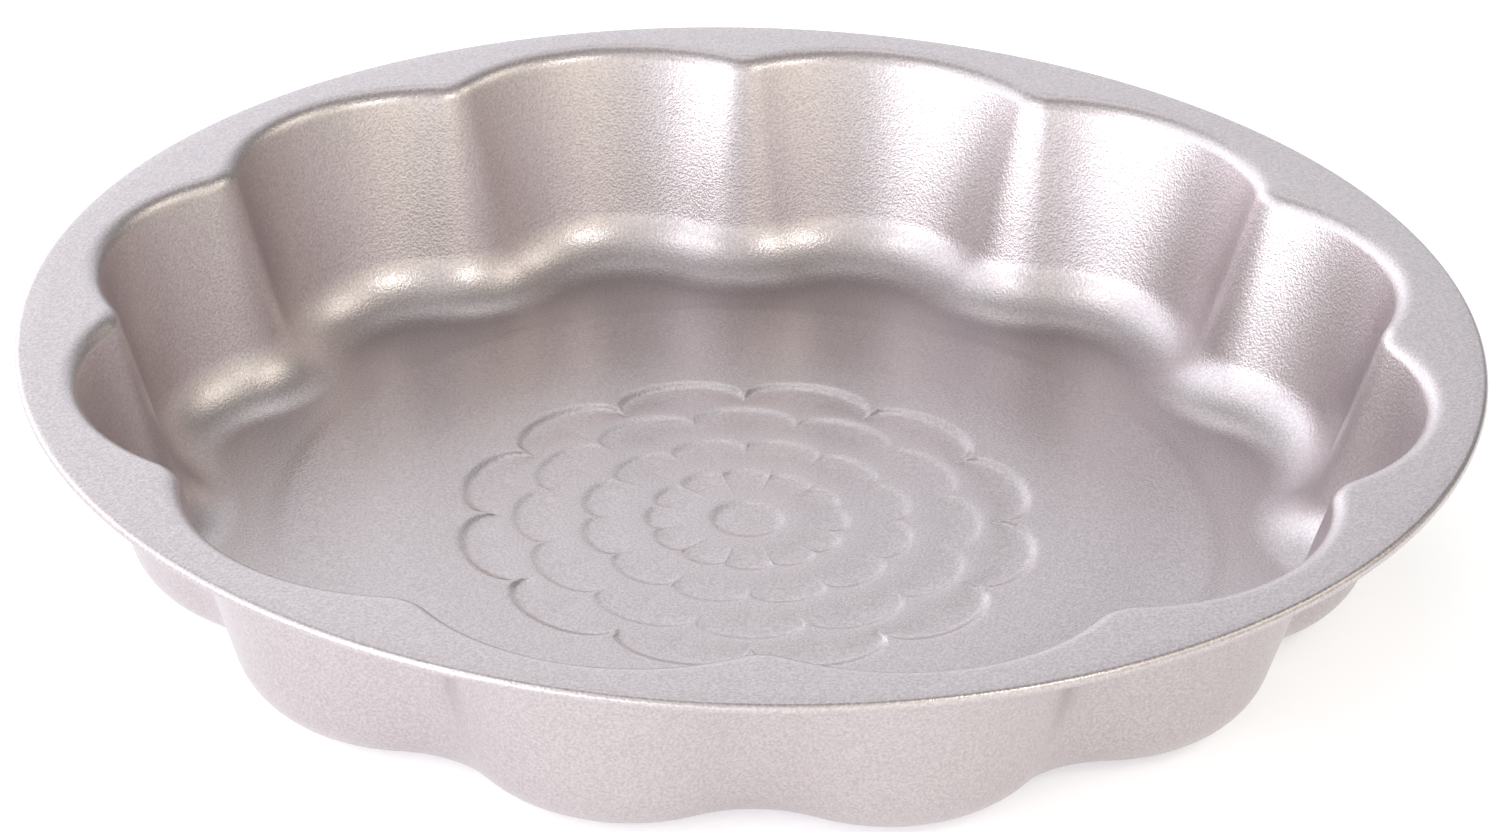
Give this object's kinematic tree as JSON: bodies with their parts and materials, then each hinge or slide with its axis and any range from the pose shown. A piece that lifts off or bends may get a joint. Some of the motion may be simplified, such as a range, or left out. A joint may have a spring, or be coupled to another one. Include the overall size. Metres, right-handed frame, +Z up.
{
  "type": "cake pan",
  "caption": "Round fluted cake pan of coated pressed steel, with a flat flange, a rolled wire rim and a flower pressed into its floor.",
  "frame": {"origin": "on the table, under the middle of the pan", "axes": "+Z up through the opening, X and Y each through two opposite valleys of the fluted wall"},
  "size_m": [0.29, 0.29, 0.046],
  "materials": {
    "coated_sheet": "satin champagne-silver non-stick coating with a fine metallic grain",
    "wire": "plain drawn steel wire"
  },
  "bodies": {
    "root": {"pan_shell": "coated_sheet", "rim_wire": "wire"}
  },
  "joints": []
}
